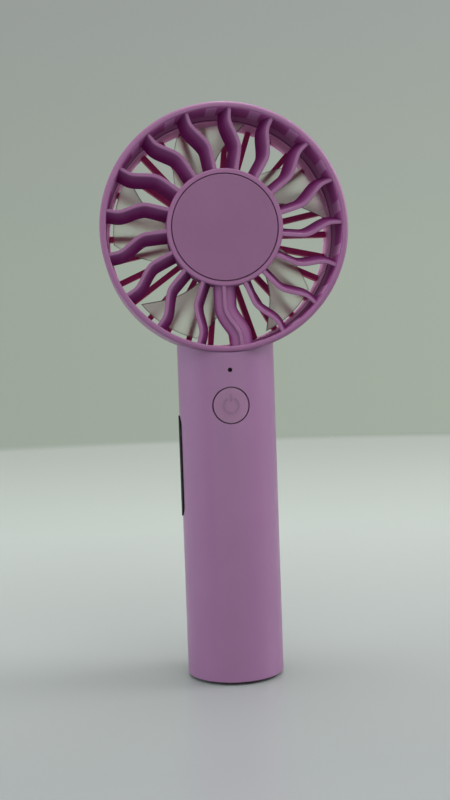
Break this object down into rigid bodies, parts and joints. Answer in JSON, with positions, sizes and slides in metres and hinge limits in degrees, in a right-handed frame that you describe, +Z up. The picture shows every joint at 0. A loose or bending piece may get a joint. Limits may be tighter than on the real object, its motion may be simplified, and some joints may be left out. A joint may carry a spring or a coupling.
{
  "type": "handheld fan",
  "caption": "Battery handheld fan: round handle, drum-shaped head with wavy front ribs round a plain hub, translucent impeller, push button and side gauge window.",
  "frame": {"origin": "centre of the round rest face under the handle", "axes": "+Z up along the handle, -Y is the front that blows air, +X to the right seen from the front; the head axis is parallel to Y"},
  "size_m": [0.0922, 0.0375, 0.2171],
  "materials": {
    "lilac_shell": "fine satin, soft touch",
    "lilac_cap": "fine satin",
    "milky_plastic": "milky translucent, smooth",
    "rotor_steel": "drawn, plated",
    "ferrite": "dull ferrite",
    "shaft_steel": "ground",
    "tube_brass": "turned",
    "screw_steel": "zinc plated",
    "bearing_steel": "polished",
    "lamination_steel": "stacked sheet edges",
    "copper_wire": "lacquered copper",
    "circuit_board": "solder mask",
    "wire_insulation": "soft sleeve",
    "red_wire": "soft sleeve",
    "black_wire": "soft sleeve",
    "foot_rubber": "dull",
    "frame_plastic": "moulded",
    "cell_wrap": "shrink sleeve",
    "nickel_strip": "bright strip",
    "foam_pad": "closed cell foam",
    "chip_plastic": "moulded black",
    "plunger_plastic": "moulded",
    "led_epoxy": "clear epoxy over ceramic",
    "smoked_lens": "smoked, glossy",
    "socket_steel": "plated shell"
  },
  "bodies": {
    "root": {"front_shell": "lilac_shell", "front_grille": "lilac_shell", "rear_shell": "lilac_shell", "handle_shell": "lilac_shell", "rear_grille": "lilac_shell", "hub_cap": "lilac_cap", "base_cap": "lilac_shell", "bearing_tube": "tube_brass", "motor_screws": "screw_steel", "front_bearing": "bearing_steel", "rear_bearing": "bearing_steel", "stator_core": "lamination_steel", "stator_windings": "copper_wire", "driver_board": "circuit_board", "motor_wires": "wire_insulation", "foot_pad": "foot_rubber", "base_screws": "screw_steel", "inner_frame": "frame_plastic", "neck_screws": "screw_steel", "battery_cell": "cell_wrap", "battery_tabs": "nickel_strip", "battery_pads": "foam_pad", "main_board": "circuit_board", "board_screws": "screw_steel", "board_chips": "chip_plastic", "switch_body": "chip_plastic", "power_led": "led_epoxy", "lamp_lens": "smoked_lens", "gauge_lens": "smoked_lens", "gauge_board": "circuit_board", "gauge_leds": "led_epoxy", "usb_shell": "socket_steel", "usb_tongue": "chip_plastic", "charge_board": "circuit_board", "battery_wire_plus": "red_wire", "battery_wire_minus": "black_wire", "charge_wires": "red_wire", "gauge_wires": "wire_insulation"},
    "impeller": {"impeller": "milky_plastic", "rotor_can": "rotor_steel", "magnet_ring": "ferrite", "motor_shaft": "shaft_steel", "shaft_clip": "shaft_steel"},
    "power_button": {"power_button": "lilac_cap", "switch_plunger": "plunger_plastic"}
  },
  "joints": [
    {"name": "impeller_spin", "type": "hinge", "parent": "root", "child": "impeller", "pos_m": [0, 0, 0.171], "axis": [0, -1, 0], "continuous": true},
    {"name": "button_press", "type": "slide", "parent": "root", "child": "power_button", "axis": [0, 1, 0], "range_m": [0, 0.00035], "stiffness_N_per_m": 6000}
  ]
}
